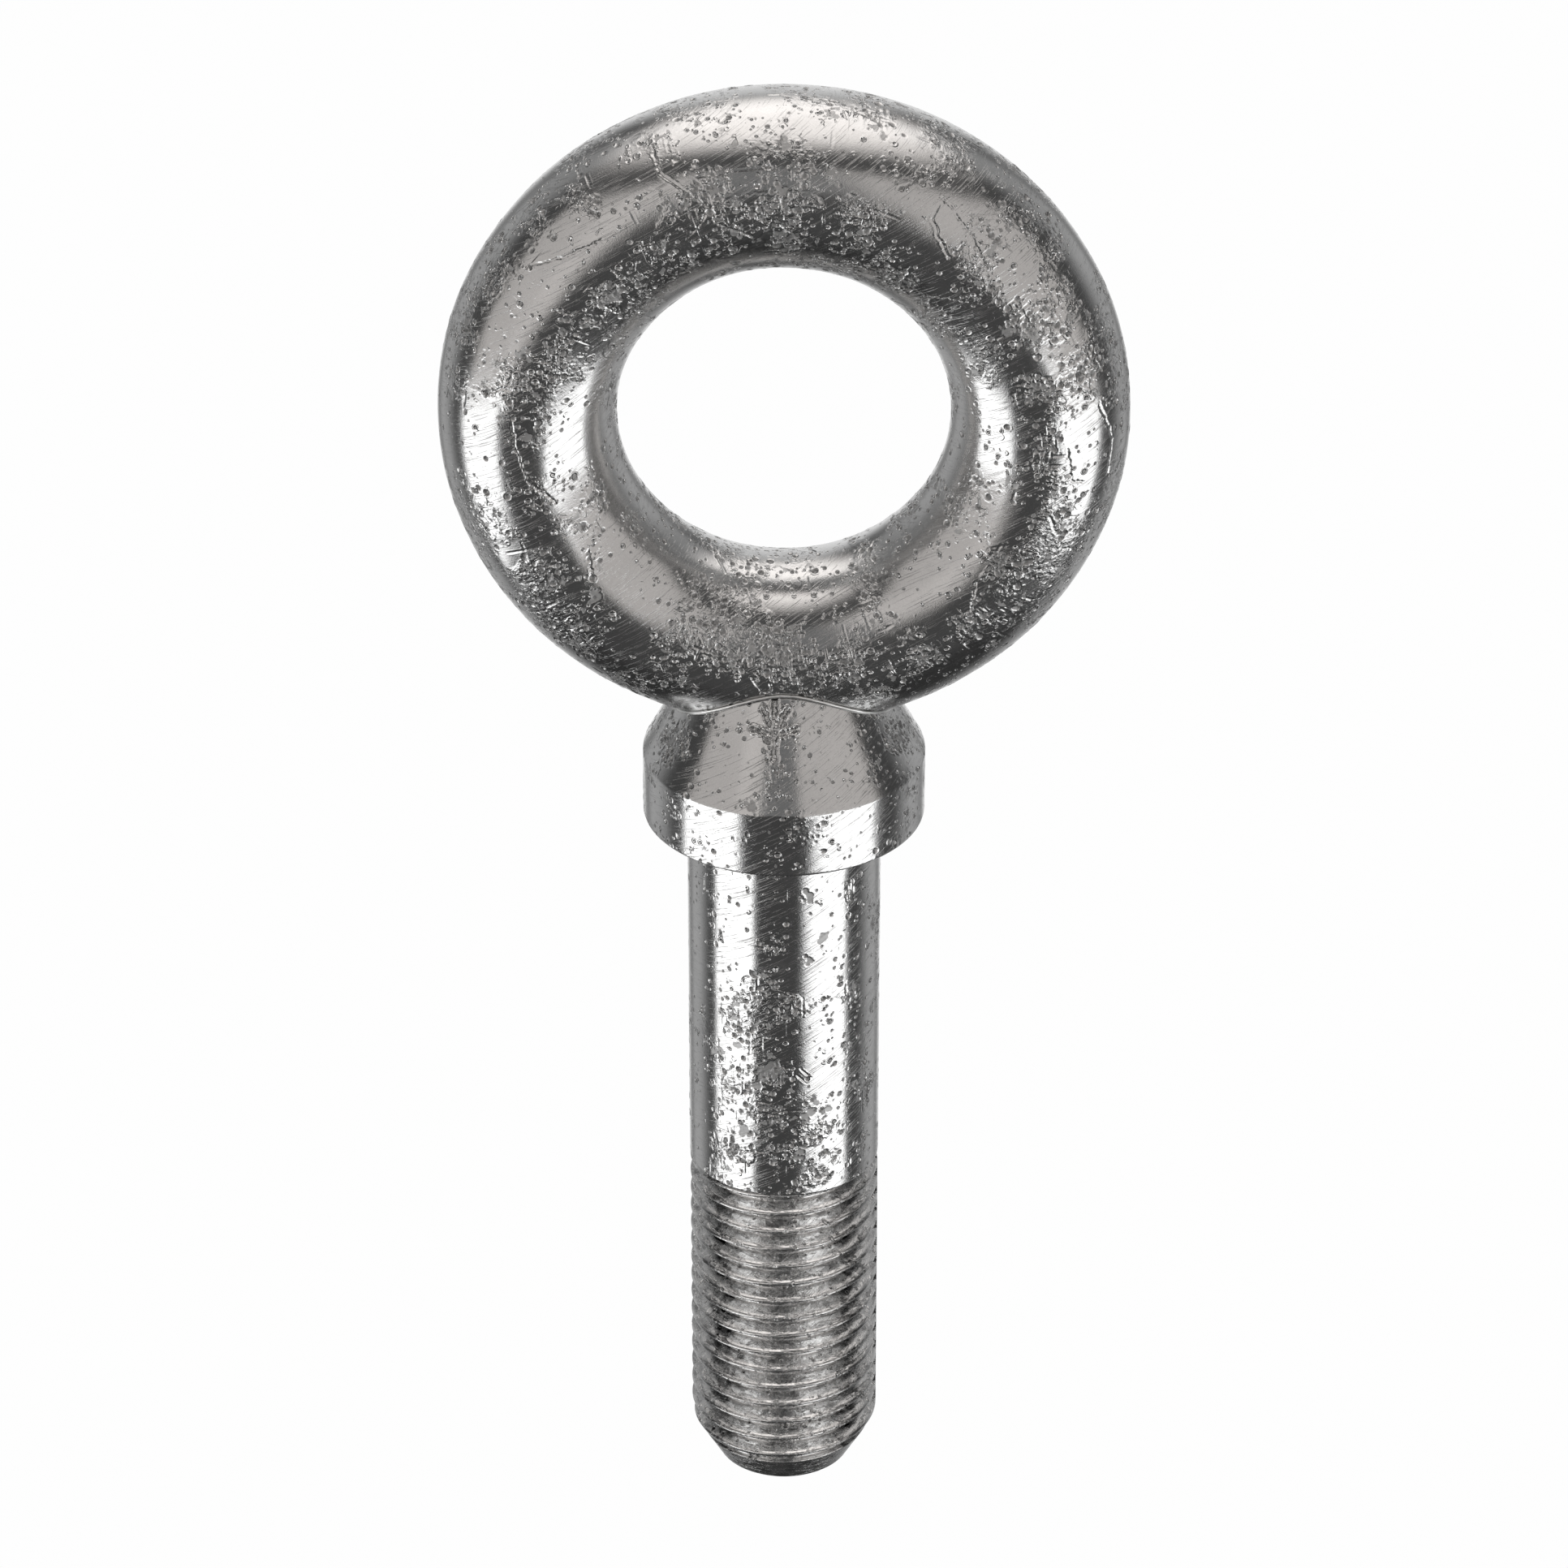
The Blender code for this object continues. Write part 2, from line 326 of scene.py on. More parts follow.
class Carver:
    """Cuts marks into a mesh. Where cuts overlap the deepest counts, and burrs show only beside a cut.

    matte says how dull a cut is, and rash how worn the steel is, both for the material to read; on the thread
    rash holds where shade is painted instead. Most of the random marks start where the rash is.
    """

    def __init__(self, obj, seed):
        self.mesh = obj.data
        self.rng = np.random.default_rng(seed)
        self.points = self.read("co")
        self.normals = self.read("normal")
        self.cut = np.zeros(len(self.points))
        self.raised = np.zeros(len(self.points))
        self.wave = np.zeros(len(self.points))
        self.matte = np.zeros(len(self.points))
        self.rash_and_shade = np.zeros(len(self.points))
        self.ragged = RAGGEDNESS * blotches(self.points, seed, 5 * MM)
        self.tree = KDTree(len(self.points))
        for index, point in enumerate(self.points):
            self.tree.insert(point, index)
        self.tree.balance()

    def read(self, name):
        values = np.empty(len(self.mesh.vertices) * 3, np.float32)
        self.mesh.vertices.foreach_get(name, values)
        return values.reshape(-1, 3).astype(float)

    def distance(self, centre, reach):
        """How far each point is from a place, as a share of the reach."""
        return np.linalg.norm(self.points - np.asarray(centre), axis=1) / reach

    def stamp(self, centre, radius, depth, flat=0.0, burr=0.25, matte=1.0):
        """A round cut. flat is the share of the radius that is level, and a thin burr stands round it."""
        found = self.tree.find_range(centre, radius * BURR_END)
        if not found:
            return
        index = np.array([f[1] for f in found])
        share = np.array([f[2] for f in found]) / radius
        bowl = step(1 - share, 0, 1 - flat)
        self.cut[index] = np.maximum(self.cut[index], depth * bowl)
        rim = np.exp(-(((share - BURR_PLACE) / BURR_WIDTH) ** 2)) * depth * burr
        self.raised[index] = np.maximum(self.raised[index], rim)
        self.matte[index] = np.maximum(self.matte[index], matte * np.clip(1.7 * bowl, 0, 1))

    def waves(self, amplitude, shortest, longest, count):
        """Soft unevenness, as forging and grinding leave."""
        for _ in range(count):
            direction = self.rng.normal(size=3)
            direction /= np.linalg.norm(direction)
            length = self.rng.uniform(shortest, longest)
            shift = self.rng.uniform(0, TURN)
            size = amplitude * length / longest / math.sqrt(count)
            self.wave += size * np.sin(self.points @ direction * TURN / length + shift)

    def pick(self, chance, count):
        """Indices of points for marks to start at, picked by the given chances."""
        return self.rng.choice(len(chance), count, p=chance / chance.sum())

    def batter(self, centre, reach):
        """Spreads the rash round a place, with a ragged edge."""
        distance = self.distance(centre, reach) + self.ragged
        self.rash_and_shade = np.maximum(self.rash_and_shade, np.clip(1.25 - distance, 0, 1))

    def spare(self, centre, reach):
        """Thins the rash round a place."""
        self.rash_and_shade *= 1 - 0.9 * np.exp(-(self.distance(centre, reach) ** 4))

    def pits(self, starts, count, smallest, largest):
        """Round pits with level floors, most of them near the smallest radius."""
        for index in self.rng.choice(starts, count):
            radius = smallest + (largest - smallest) * self.rng.random() ** 2.5
            depth = radius * self.rng.uniform(0.3, 0.5)
            self.stamp(self.points[index], radius, depth, flat=0.45)

    def flake(self, centre, size, depth=0.06 * MM):
        """A shallow flaked-off patch: level, half matte, with a ragged outline."""
        for _ in range(9):
            offset = self.rng.normal(size=3) * size * 0.42
            point = self.tree.find(np.asarray(centre) + offset)[0]
            self.stamp(point, size * self.rng.uniform(0.28, 0.55), depth, flat=0.8, burr=0.3, matte=0.6)

    def flakes(self, starts, count, smallest, largest):
        for index in self.rng.choice(starts, count):
            self.flake(self.points[index], self.rng.uniform(smallest, largest))

    def line(self, spots, radius, depth, wander=0.2 * MM, burr=0.35):
        """A scratch through the given spots, laid on the surface, uneven in width and depth."""
        spots = [np.asarray(s, float) for s in spots]
        drift = np.zeros(3)
        for start, end in zip(spots, spots[1:]):
            count = max(2, int(np.linalg.norm(end - start) / (radius * 0.5)))
            for k in range(count):
                drift = drift * 0.8 + self.rng.normal(size=3) * wander * 0.35
                point = self.tree.find(start + (end - start) * k / count + drift)[0]
                swell = self.rng.uniform(0.75, 1.15)
                self.stamp(point, radius * swell, depth * swell, burr=burr, matte=0.3)

    def stroke(self, index, length, radius, depth, heading=None):
        """A short curved gouge that starts at a point of the mesh and follows the surface."""
        point, normal = self.points[index], self.normals[index]
        direction = self.rng.normal(size=3) if heading is None else heading
        bend = self.rng.normal() * BEND
        stride = radius * 0.6
        count = max(2, int(length / stride))
        for k in range(count):
            direction = direction - normal * (direction @ normal)
            direction = direction + np.cross(normal, direction) * bend * stride
            direction = direction / max(np.linalg.norm(direction), 1e-9)
            swell = math.sin(math.pi * (k + 0.5) / count) ** 0.6
            self.stamp(point, radius * (0.6 + 0.4 * swell), depth * swell, burr=0.4, matte=0.3)
            point, near, _ = self.tree.find(point + direction * stride)
            point, normal = np.array(point), self.normals[near]
            bend += self.rng.normal() * BEND_CHANGE

    def strokes(self, starts, count, length, radius, depth, heading=None):
        """Gouges of random sizes, in any direction or mostly along the heading, either way."""
        for index in self.rng.choice(starts, count):
            aim = None
            if heading is not None:
                aim = np.array(heading) * self.rng.choice((-1, 1)) + self.rng.normal(size=3) * 0.4
            size = self.rng.uniform(*radius)
            self.stroke(index, self.rng.uniform(*length), size, self.rng.uniform(*depth), aim)

    def scar(self, centre, reach, busy=1.0):
        """A battered place: a shallow dent, full of short gouges, flakes and pits where the rash is."""
        distance = self.distance(centre, reach)
        self.wave -= DENT_DEPTH * np.clip(1 - distance**2, 0, 1) ** 2
        starts = self.pick((np.clip(1.25 - distance, 0, 1) * self.rash_and_shade) ** 1.5 + 1e-12, 400)
        area = (reach / MM) ** 2 * busy
        self.strokes(starts, int(1.1 * area), length=mm(0.6, 3), radius=mm(0.22, 0.34), depth=mm(0.07, 0.18))
        self.pits(starts, int(0.7 * area), *mm(0.28, 0.7))
        self.flakes(starts, int(0.05 * area), *mm(0.6, 1.5))

    def apply(self):
        height = self.wave + self.raised * np.clip(1 - self.cut / SHALLOW, 0, 1) - self.cut
        moved = self.points + self.normals * height[:, None]
        self.mesh.vertices.foreach_set("co", moved.astype(np.float32).ravel())
        for name, values in (("matte", self.matte), ("rash_and_shade", self.rash_and_shade)):
            layer = self.mesh.attributes.new(name, "FLOAT", "POINT")
            layer.data.foreach_set("value", values.astype(np.float32))
        self.mesh.update()


# Places on the ring are told by the hour on a clock face and the degrees outward round the bar from its
# front, then, for a patch, its reach in millimetres.
RING_SCARS = (
    (12, 0, 7), (11.5, 20, 5), (12, -20, 5), (2, 20, 8), (2.5, 30, 6), (2.5, 0, 5), (3, 0, 5), (4, 0, 6),
    (4.5, 5, 6), (5, 10, 6), (5.5, 0, 6), (6, -15, 7), (6.5, -10, 6), (7, 50, 6), (7.5, 30, 8), (8, 15, 7),
    (10, 0, 5), (10.5, -10, 6), (10, 50, 4), (1, -30, 6), (12.5, 70, 5), (12.5, 150, 9), (10, 170, 9),
    (2.5, 200, 8), (4.5, 160, 9), (8.5, 190, 8), (6.5, 165, 8), (11.5, 215, 7), (1.5, 110, 7),
    (9.5, 120, 7), (3.5, 105, 6), (11, 110, 6),
)
RING_SPARED = (
    (9, 35, 10), (9, -35, 8), (3, 35, 8), (3, -35, 8), (10, 20, 7), (11, 25, 5), (12.5, 45, 8),
    (4.5, -35, 10), (7.5, -35, 9), (1, 20, 6), (6, 30, 6),
)
RING_FLAKES = ((12, 45, 1.5), (12.25, 70, 1.4))
# Long scratches, by the places that each runs through
RING_SCRATCHES = (
    ((11.25, 60), (11.25, 40), (11.5, 10), (11.25, -5)),
    ((11.5, 20), (11.5, 0), (11.75, -15)),
    ((1, 30), (1, 20), (1.25, 5)),
    ((1, 35), (1.25, 25), (1.5, 15)),
    ((12, -10), (12.25, -25)),
    ((3, 15), (3.25, 20), (3.25, 30)),
    ((3.5, 10), (3.75, 30), (3.75, 45)),
    ((9.25, 10), (9, 5)),
    ((9, 5), (8.75, 0), (8.5, -15)),
    ((8, -20), (7.75, -10)),
    ((4.25, -10), (4.5, 5)),
    ((2.75, 40), (3, 50), (3.25, 50)),
    ((10.25, 40), (10.5, 25), (10.75, 20)),
    ((12.25, 140), (12.75, 170), (1, 200)),
    ((9.75, 150), (9.25, 175)),
    ((4, 130), (4.5, 150), (4.75, 175)),
    ((7.75, 150), (8, 180)),
    ((6.1, 12), (6.1, -5)),
    ((6.15, 12), (6.25, 0)),
)

# Places on the stud are told by the degrees to the right of its front and a height in millimetres, then,
# for a patch, its reach. On the shank, where gouges run mostly upright:
STUD_SCARS = (
    (-30, -40, 4), (-30, -55, 5), (-30, -70, 5), (20, -65, 5), (20, -75, 4), (0, -35, 5), (0, -50, 5),
    (-10, -60, 4), (0, -70, 4), (45, -10, 4), (-5, -20, 4), (60, -60, 4), (110, -30, 6), (170, -15, 6),
    (-120, -55, 6), (150, -60, 6), (-165, -40, 6),
)
STUD_SPARED = ((-30, -12, 11), (25, -15, 10), (25, -45, 9), (-80, -30, 12))
STUD_FLAKES = (
    (15, -10, 1.5), (25, -20, 1.6), (15, -25, 1.0), (-10, -50, 2.4), (-30, -45, 1.6), (-30, -35, 1.3),
    (15, -60, 1.7), (25, -60, 1.3), (-25, -65, 1.7), (10, -70, 1.4), (25, -75, 1.1), (100, -40, 2.0),
    (140, -20, 1.8), (-90, -30, 2.0), (-140, -60, 2.2), (180, -50, 2.0),
)
UPRIGHT = (-0.25, 0.0, 1.0)
# On the collar and the cone:
COLLAR_SPARED = ((-40, 7, 6), (35, 7, 10))
CONE_SPARED = ((-30, 21, 8), (22, 21, 8))
CONE_SCARS = ((-65, 20, 6), (70, 20, 6), (130, 20, 6), (-150, 20, 6))
# Star-shaped blow where the cone meets the ring: its middle and the ends of its rays
BLOW = (-5, 27)
BLOW_ENDS = ((-19, 28), (-13, 32), (-6, 34), (2, 32), (8, 28), (-5, 23))
# On the thread: a scratch, then the degrees to both sides of the front where painted shade is darkest, and
# its width
THREAD_SCRATCH = ((25, -85), (35, -95), (50, -100))
SHADED_SIDE, SHADE_WIDTH = 48, 17


def ring_spot(clock, bar):
    clock, bar = clock * TURN / 12, math.radians(bar)
    out = RING_RADIUS + BAR_RADIUS * math.sin(bar)
    return (out * math.sin(clock), -BAR_RADIUS * math.cos(bar), EYE_HEIGHT + out * math.cos(clock))


def stud_spot(side, height_mm, radius=SHANK_RADIUS):
    side = math.radians(side)
    return (radius * math.sin(side), -radius * math.cos(side), height_mm * MM)


def cone_spot(side, height_mm):
    return stud_spot(side, height_mm, cone_radius(height_mm * MM))


def mark_ring(ring):
    carver = Carver(ring, 3)
    carver.waves(0.07 * MM, 9 * MM, 34 * MM, 16)
    carver.rash_and_shade = 0.66 * step(blotches(carver.points, 5, 11 * MM), -1.8, 0.9)
    for clock, bar, reach in RING_SCARS:
        carver.batter(ring_spot(clock, bar), reach * MM)
    for clock, bar, reach in RING_SPARED:
        carver.spare(ring_spot(clock, bar), reach * MM)
    for clock, bar, reach in RING_SCARS:
        carver.scar(ring_spot(clock, bar), reach * MM)
    worn = carver.pick(carver.rash_and_shade**1.5, 8000)
    anywhere = np.arange(len(carver.points))
    carver.pits(worn, 3600, *mm(0.28, 0.75))
    carver.pits(anywhere, 500, *mm(0.28, 0.6))
    carver.strokes(worn, 480, length=mm(1, 5), radius=mm(0.24, 0.38), depth=mm(0.07, 0.18))
    carver.flakes(worn, 36, *mm(0.6, 1.4))
    for clock, bar, size in RING_FLAKES:
        carver.flake(ring_spot(clock, bar), size * MM)
    for places in RING_SCRATCHES:
        carver.line([ring_spot(*p) for p in places], 0.31 * MM, 0.19 * MM, burr=0.45)
    carver.apply()


def mark_stud(stud):
    carver = Carver(stud, 4)
    points, normals = carver.points, carver.normals
    carver.waves(0.025 * MM, 7 * MM, 24 * MM, 12)
    reach = np.hypot(points[:, 0], points[:, 1])
    upright = np.hypot(normals[:, 0], normals[:, 1])
    plain = (reach > SHANK_RADIUS - 0.3 * MM) & (points[:, 2] > THREAD_TOP) & (upright > 0.6)
    shoulder = np.flatnonzero((points[:, 2] > 0.5 * MM) & (reach > 12 * MM))
    threaded = np.flatnonzero((points[:, 2] < THREAD_TOP - 0.5 * MM) & (upright > 0.4))

    carver.rash_and_shade = 0.58 * step(blotches(points, 8, 10 * MM), -0.8, 1.2)
    for side, height, size in STUD_SCARS:
        carver.batter(stud_spot(side, height), size * MM)
    for side, height, size in STUD_SPARED:
        carver.spare(stud_spot(side, height), size * MM)
    for side, height, size in COLLAR_SPARED:
        carver.spare(stud_spot(side, height, SHOULDER_RADIUS), size * MM)
    for side, height, size in CONE_SPARED:
        carver.spare(cone_spot(side, height), size * MM)
    for side, height, size in STUD_SCARS:
        carver.scar(stud_spot(side, height), size * MM, busy=0.6)
    for side, height, size in STUD_FLAKES:
        carver.flake(stud_spot(side, height), size * MM)

    carver.batter(cone_spot(*BLOW), 3 * MM)
    for end in BLOW_ENDS:
        carver.line([cone_spot(*BLOW), cone_spot(*end)], 0.7 * MM, 0.55 * MM, burr=0.7)
    for side, height, size in CONE_SCARS:
        carver.batter(cone_spot(side, height), size * MM)
        carver.scar(cone_spot(side, height), size * MM)

    worn = carver.pick(plain * carver.rash_and_shade**1.5, 5000)
    carver.pits(worn, 1000, *mm(0.28, 0.7))
    carver.pits(np.flatnonzero(plain), 250, *mm(0.28, 0.6))
    carver.flakes(worn, 30, *mm(0.5, 1.2))
    carver.strokes(worn, 200, length=mm(1, 4), radius=mm(0.22, 0.34), depth=mm(0.07, 0.16), heading=UPRIGHT)
    carver.pits(shoulder, 300, *mm(0.28, 0.55))
    carver.pits(threaded, 500, *mm(0.22, 0.45))
    carver.strokes(threaded, 160, length=mm(0.8, 4), radius=mm(0.2, 0.3), depth=mm(0.05, 0.14))
    carver.line([stud_spot(*p, CREST_RADIUS) for p in THREAD_SCRATCH], 0.3 * MM, 0.25 * MM)
    shade_thread_sides(carver)
    carver.apply()


def shade_thread_sides(carver):
    """On the thread the rash says something else: where shade is painted, in a band down each side of the
    front.
    """
    x, y, height = carver.points.T
    side = np.degrees(np.abs(np.arctan2(x, -y)))
    painted_side_shade = np.exp(-(((side - SHADED_SIDE) / SHADE_WIDTH) ** 2)) * (height < THREAD_TOP)
    carver.rash_and_shade = np.maximum(carver.rash_and_shade * (height > THREAD_TOP), painted_side_shade)


# ---------------------------------------------------------------- steel


class Nodes:
    """Short calls for building a node tree. A value is a number or another node's output."""

    def __init__(self, tree):
        self.tree = tree

    def add(self, kind, **settings):
        node = self.tree.nodes.new(kind)
        for key, value in settings.items():
            setattr(node, key, value)
        return node

    def link(self, value, socket):
        if isinstance(value, bpy.types.NodeSocket):
            self.tree.links.new(value, socket)
        else:
            socket.default_value = value

    def math(self, operation, *values):
        node = self.add("ShaderNodeMath", operation=operation)
        for value, socket in zip(values, node.inputs):
            self.link(value, socket)
        return node.outputs[0]

    def product(self, a, b):
        return self.math("MULTIPLY", a, b)

    def greatest(self, first, *others):
        for other in others:
            first = self.math("MAXIMUM", first, other)
        return first

    def plus(self, base, *terms):
        """The base plus each term, which is a value and its weight."""
        for value, weight in terms:
            base = self.math("MULTIPLY_ADD", value, weight, base)
        return base

    def ramp(self, value, low, high, to_low=0.0, to_high=1.0, smooth=True):
        """Maps value from low..high to to_low..to_high, held at both ends."""
        node = self.add("ShaderNodeMapRange", interpolation_type="SMOOTHSTEP" if smooth else "LINEAR")
        settings = {"Value": value, "From Min": low, "From Max": high, "To Min": to_low, "To Max": to_high}
        for name, setting in settings.items():
            self.link(setting, node.inputs[name])
        return node.outputs[0]

    def band(self, value, low, high, soft):
        """1 from low to high and 0 outside, with soft edges."""
        rise = self.ramp(value, low - soft, low + soft)
        fall = self.ramp(value, high - soft, high + soft, 1.0, 0.0)
        return self.product(rise, fall)

    def noise(self, vector, scale, detail=2.0, roughness=0.5, distortion=0.0):
        node = self.add("ShaderNodeTexNoise")
        self.link(vector, node.inputs["Vector"])
        node.inputs["Scale"].default_value = scale
        node.inputs["Detail"].default_value = detail
        node.inputs["Roughness"].default_value = roughness
        node.inputs["Distortion"].default_value = distortion
        return node.outputs["Fac"]

    def mapped(self, vector, scale=(1, 1, 1), rotation=(0, 0, 0), location=(0, 0, 0)):
        node = self.add("ShaderNodeMapping")
        self.link(vector, node.inputs["Vector"])
        node.inputs["Location"].default_value = location
        node.inputs["Scale"].default_value = scale
        node.inputs["Rotation"].default_value = rotation
        return node.outputs["Vector"]

    def attribute(self, name):
        return self.add("ShaderNodeAttribute", attribute_name=name).outputs["Fac"]

    def axes(self, vector):
        node = self.add("ShaderNodeSeparateXYZ")
        self.link(vector, node.inputs[0])
        return node.outputs

    def mix_colour(self, share, a, b):
        node = self.add("ShaderNodeMix", data_type="RGBA", clamp_factor=False)
        self.link(share, node.inputs["Factor"])
        self.link(a, node.inputs["A"])
        self.link(b, node.inputs["B"])
        return node.outputs["Result"]


def small_pits(nodes, place, scale, smallest, largest, chance, shift=0.0):
    """Round pits, one at most in each cell. Gives their relief, below 0 on the floor and above 0 on the rim,
    and a mask of their level floors."""
    cells = nodes.add("ShaderNodeTexVoronoi")
    nodes.link(nodes.mapped(place, location=(shift, 0.7 * shift, -shift)), cells.inputs["Vector"])
    cells.inputs["Scale"].default_value = scale
    distance = cells.outputs["Distance"]
    draws = nodes.add("ShaderNodeSeparateColor")
    nodes.link(cells.outputs["Color"], draws.inputs[0])
    chosen = nodes.math("LESS_THAN", draws.outputs[0], chance)
    size = nodes.ramp(draws.outputs[1], 0.0, 1.0, smallest * scale, largest * scale, smooth=False)
    rim = nodes.ramp(distance, nodes.product(size, 1.4), size, 0.0, 0.25)
    bowl = nodes.ramp(distance, size, nodes.product(size, 0.5), 0.0, -1.25)
    floor = nodes.ramp(distance, nodes.product(size, 0.75), nodes.product(size, 0.55))
    return nodes.product(nodes.math("ADD", rim, bowl), chosen), nodes.product(floor, chosen)


def hairlines_on(nodes, place):
    """Long fine scratches, all tilted the same way."""
    tilted = nodes.mapped(place, rotation=(0.0, HAIRLINE_TILT, 0.0))
    drawn_out = nodes.mapped(tilted, scale=(0.055, 0.16, 3.4))
    return nodes.ramp(nodes.noise(drawn_out, 1.6, detail=3.0, roughness=0.65), 0.57, 0.66)


def gouges_on(nodes, place, crowd):
    """Broken curved furrows along the contour lines of a noise, longer where marks crowd."""
    field = nodes.noise(place, 0.38, detail=1.0, distortion=0.8)
    contour = nodes.math("ABSOLUTE", nodes.math("SUBTRACT", field, 0.5))
    lowest = nodes.ramp(crowd, 0.0, 1.0, 0.72, 0.50)
    broken = nodes.ramp(nodes.noise(place, 0.45), lowest, 0.74)
    return nodes.product(nodes.ramp(contour, 0.065, 0.025), nodes.ramp(broken, 0.0, 0.15))


def worn_steel(nodes, place, crowd, lumps, gloss, spotting):
    """Roughness, shade and height of steel with pits, specks, flakes, hairlines and gouges."""
    grain = nodes.noise(place, 3.5, roughness=0.6)
    cloud = nodes.noise(place, 0.085, detail=3.0, roughness=0.6)
    hairlines = hairlines_on(nodes, place)
    gouges = gouges_on(nodes, place, crowd)

    spots = nodes.ramp(nodes.noise(place, 0.13), 0.48, 0.60, 0.05, spotting)
    chance = nodes.greatest(nodes.ramp(crowd, 0.0, 1.0, 0.05, 0.65), spots)
    pits, pit_floors = small_pits(nodes, place, 0.55, 0.30, 0.70, chance)
    specks, speck_floors = small_pits(nodes, place, 0.9, 0.18, 0.42, chance, shift=31.7)
    ragged = nodes.noise(place, 0.40, detail=3.0, distortion=0.6)
    flaky = nodes.ramp(crowd, 0.1, 0.5)
    flakes = nodes.product(nodes.ramp(ragged, 0.635, 0.655), flaky)
    flake_floors = nodes.product(nodes.ramp(ragged, 0.65, 0.66), flaky)

    carved = nodes.attribute("matte")
    holes = nodes.greatest(pit_floors, speck_floors, nodes.ramp(carved, 0.7, 0.9))
    bare = nodes.greatest(holes, flake_floors, nodes.ramp(carved, 0.35, 0.5))
    battered = nodes.product(lumps, nodes.ramp(crowd, 0.35, 1.0))

    rough = nodes.plus(gloss, (nodes.ramp(lumps, 0.3, 0.7), 0.03), (hairlines, 0.06), (bare, 0.34))
    shade = nodes.plus(
        1.0,
        (bare, -0.16),
        (holes, -0.22),
        (nodes.ramp(cloud, 0.3, 0.7), -0.06),
        (nodes.ramp(grain, 0.3, 0.7), -0.06),
        (hairlines, -0.15),
        (gouges, -0.10),
    )
    height = nodes.plus(
        0.0,
        (pits, 0.20),
        (specks, 0.11),
        (flakes, -0.11),
        (hairlines, -0.010),
        (grain, 0.014),
        (battered, 0.13),
        (gouges, -0.18),
    )
    return rough, shade, height


def add_thread_wear(nodes, place, threaded, painted_side_shade, lumps, rough, shade, height):
    """The same three with the thread's wear and painted light: grimy flanks, drag marks that follow the
    turns, painted shade in the roots and down both sides of the front, and a painted sheen over the whole
    thread.
    """
    across = nodes.add("ShaderNodeVectorMath", operation="LENGTH")
    nodes.link(nodes.mapped(place, scale=(1, 1, 0)), across.inputs[0])
    reach = across.outputs["Value"]
    crest, root = CREST_RADIUS / MM, ROOT_RADIUS / MM
    below_crest = nodes.ramp(reach, crest - 0.7, crest - 0.15, 1.0, 0.0)
    grime = nodes.product(threaded, nodes.plus(0.2, (below_crest, 0.8)))
    # Painted shade: darker towards the roots of the thread and on the point, as shade falls in the grooves.
    painted_root_shade = nodes.product(threaded, nodes.ramp(reach, root + 1.0, root + 0.15))
    patch = nodes.noise(nodes.mapped(place, scale=(0.8, 0.8, 2.0)), 0.45, detail=3.0, roughness=0.6)
    drag = nodes.noise(nodes.mapped(place, scale=(0.22, 0.22, 1.7)), 1.0, detail=3.0, roughness=0.6)
    streaks = nodes.product(threaded, nodes.ramp(drag, 0.50, 0.62))

    rough = nodes.plus(rough, (grime, nodes.ramp(patch, 0.46, 0.54, 0.0, 0.12)))
    shade = nodes.plus(
        shade,
        (grime, nodes.ramp(patch, 0.38, 0.50, -0.16, 0.08)),
        (painted_root_shade, -0.25),
        (streaks, -0.30),
        # Painted sheen: the thread's steel is painted lighter throughout, so that its flanks look brighter.
        (threaded, 0.28),
        # Painted shade: a dark band down each side of the thread's front, broken up by the patch noise.
        (painted_side_shade, nodes.ramp(patch, 0.36, 0.60, -0.68, -0.40)),
    )
    height = nodes.plus(height, (nodes.product(lumps, grime), 0.05), (streaks, -0.07))
    return rough, shade, height


def steel(name, tint, gloss, spotting, thread_top=None):
    """Worn bright steel. gloss is the roughness of its clean parts, spotting is how thick the dots get where
    nothing else is, and below thread_top it is dragged and grimy, with painted shade in its roots and down
    both sides of the front, and a painted sheen that makes it lighter throughout."""
    material = bpy.data.materials.new(name)
    material.use_nodes = True
    nodes = Nodes(material.node_tree)
    in_metres = nodes.add("ShaderNodeTexCoord").outputs["Object"]
    place = nodes.mapped(in_metres, scale=(1 / MM, 1 / MM, 1 / MM))
    rash_and_shade = nodes.attribute("rash_and_shade")
    uneven = nodes.math("SUBTRACT", nodes.noise(place, 0.22, detail=3.0, roughness=0.6), 0.5)
    crowd = nodes.ramp(nodes.math("ADD", rash_and_shade, uneven), 0.08, 0.9)
    lumps = nodes.noise(place, 1.0, distortion=0.6)
    if thread_top is None:
        rough, shade, height = worn_steel(nodes, place, crowd, lumps, gloss, spotting)
    else:
        threaded = nodes.ramp(nodes.axes(place)["Z"], thread_top / MM + 0.1, thread_top / MM - 0.1)
        crowd = nodes.product(crowd, nodes.plus(1.0, (threaded, -0.85)))
        surface = worn_steel(nodes, place, crowd, lumps, gloss, spotting)
        # On the thread the rash attribute holds where shade is painted down both sides of the front.
        painted_side_shade = nodes.product(rash_and_shade, threaded)
        rough, shade, height = add_thread_wear(nodes, place, threaded, painted_side_shade, lumps, *surface)

    shader = material.node_tree.nodes["Principled BSDF"]
    shader.inputs["Metallic"].default_value = 1.0
    nodes.link(rough, shader.inputs["Roughness"])
    nodes.link(nodes.mix_colour(shade, (0, 0, 0, 1), (*tint, 1)), shader.inputs["Base Color"])
    bump = nodes.add("ShaderNodeBump")
    bump.inputs["Strength"].default_value = 1.0
    bump.inputs["Distance"].default_value = MM
    nodes.link(height, bump.inputs["Height"])
    nodes.link(bump.outputs["Normal"], shader.inputs["Normal"])
    return material


# ---------------------------------------------------------------- studio


